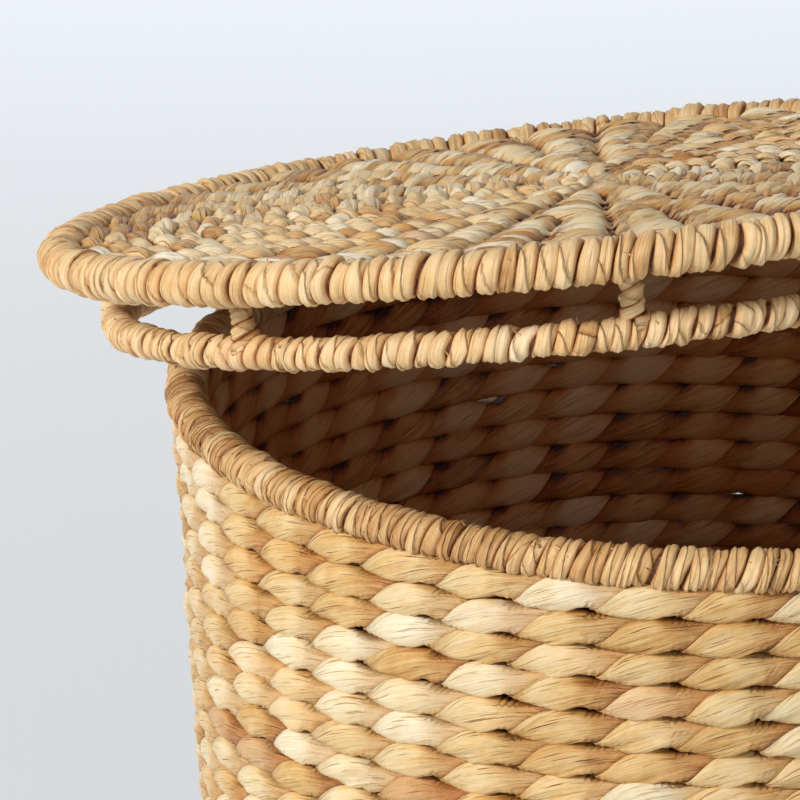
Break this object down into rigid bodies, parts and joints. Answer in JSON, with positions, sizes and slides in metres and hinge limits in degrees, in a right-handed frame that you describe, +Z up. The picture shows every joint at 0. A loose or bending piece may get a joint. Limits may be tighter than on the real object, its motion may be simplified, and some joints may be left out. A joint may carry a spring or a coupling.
{
  "type": "laundry hamper",
  "caption": "Round tapered laundry hamper of twined water hyacinth on a wire frame, with a loose woven lid located by a ring on posts.",
  "frame": {"origin": "centre of the base's underside, on the floor", "axes": "+Z up along the basket's axis, -Y towards the front, +X to the right seen from the front"},
  "size_m": [0.505, 0.4632, 0.7022],
  "materials": {
    "wall_leaf": "dry plant fibre, satin on the flats",
    "lid_leaf": "dry plant fibre, satin on the flats",
    "leaf_binding": "dry plant fibre, wrapped, satin",
    "frame_wire": "dull, varnished steel wire"
  },
  "bodies": {
    "basket": {"rim_wire": "frame_wire", "rim_binding": "leaf_binding", "wall_stakes": "frame_wire", "wall_weave": "wall_leaf", "foot_wire": "frame_wire", "foot_binding": "leaf_binding", "base_spokes": "frame_wire", "base_weave": "wall_leaf"},
    "lid": {"lid_ring_wire": "frame_wire", "lid_ring_binding": "leaf_binding", "lid_spokes": "frame_wire", "lid_weave": "lid_leaf", "flange_wire": "frame_wire", "flange_binding": "leaf_binding", "post_wire_1": "frame_wire", "post_wire_2": "frame_wire", "post_wire_3": "frame_wire", "post_wire_4": "frame_wire", "post_wire_5": "frame_wire", "post_wire_6": "frame_wire", "post_wire_7": "frame_wire", "post_wire_8": "frame_wire", "post_binding_1": "leaf_binding", "post_binding_2": "leaf_binding", "post_binding_3": "leaf_binding", "post_binding_4": "leaf_binding", "post_binding_5": "leaf_binding", "post_binding_6": "leaf_binding", "post_binding_7": "leaf_binding", "post_binding_8": "leaf_binding"}
  },
  "joints": [
    {"name": "lid_tilt", "type": "hinge", "parent": "basket", "child": "lid", "pos_m": [-0.161, 0.14727, 0.58], "axis": [-0.8124, -0.5831, 0], "range_deg": [-11.5, 60]}
  ]
}
